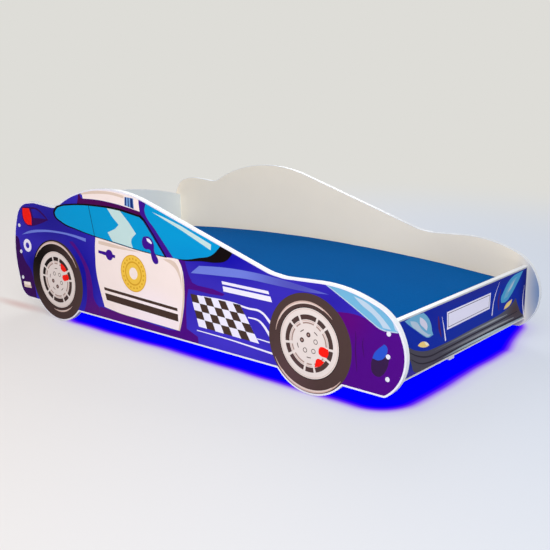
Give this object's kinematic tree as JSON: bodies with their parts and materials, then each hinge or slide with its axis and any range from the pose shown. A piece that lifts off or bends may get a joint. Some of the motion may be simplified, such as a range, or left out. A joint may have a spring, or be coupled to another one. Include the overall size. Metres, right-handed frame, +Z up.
{
  "type": "car-shaped children's bed",
  "caption": "Low single bed for a child with two car-shaped printed side boards, straight front board, arched rear board, sprung slats and a loose blue mattress",
  "frame": {"origin": "bottom centre of the bed's bounding box, on the floor", "axes": "+X towards the car's front, +Z up, +Y to the left side board"},
  "size_m": [1.7208, 0.8446, 0.5129],
  "materials": {
    "white_board": "white melamine-faced chipboard, fine satin",
    "edge_band": "white plastic edge band, satin gloss",
    "print_blue": null,
    "pine": "planed pine, unfinished",
    "birch": "bent birch plywood, clear lacquer",
    "black_plastic": "fine matt black moulded plastic",
    "white_plastic": "smooth white moulded plastic",
    "zinc": "bright zinc-plated steel",
    "beech": "turned beech",
    "nylon": "pale nylon",
    "light_strip": "silicone-cased light strip, lit blue",
    "mattress_cloth": "blue woven cover cloth, light quilting",
    "foam": "cream foam"
  },
  "bodies": {
    "root": {"right_side_panel": "white_board", "right_edge_band": "edge_band", "right_print": "print_blue", "right_rail": "pine", "right_slat_holders": "black_plastic", "right_light_strip": "light_strip", "left_side_panel": "white_board", "left_edge_band": "edge_band", "left_print": "print_blue", "left_rail": "pine", "left_slat_holders": "black_plastic", "left_light_strip": "light_strip", "corner_screws": "zinc", "screw_caps": "white_plastic", "corner_dowels": "beech", "rail_screws": "zinc", "floor_glides": "nylon", "front_panel": "white_board", "front_edge_bands": "edge_band", "front_print": "print_blue", "rear_panel": "white_board", "rear_edge_bands": "edge_band", "slat_01": "birch", "slat_02": "birch", "slat_03": "birch", "slat_04": "birch", "slat_05": "birch", "slat_06": "birch", "slat_07": "birch", "slat_08": "birch", "slat_09": "birch", "slat_10": "birch", "slat_11": "birch", "slat_12": "birch", "slat_13": "birch", "front_light_strip": "light_strip", "light_receiver": "white_plastic", "light_controller": "black_plastic"},
    "mattress": {"mattress_cover": "mattress_cloth", "mattress_core": "foam"}
  },
  "joints": [
    {"name": "mattress_lift", "type": "slide", "parent": "root", "child": "mattress", "axis": [0, 0, 1], "range_m": [0, 0.4]}
  ]
}
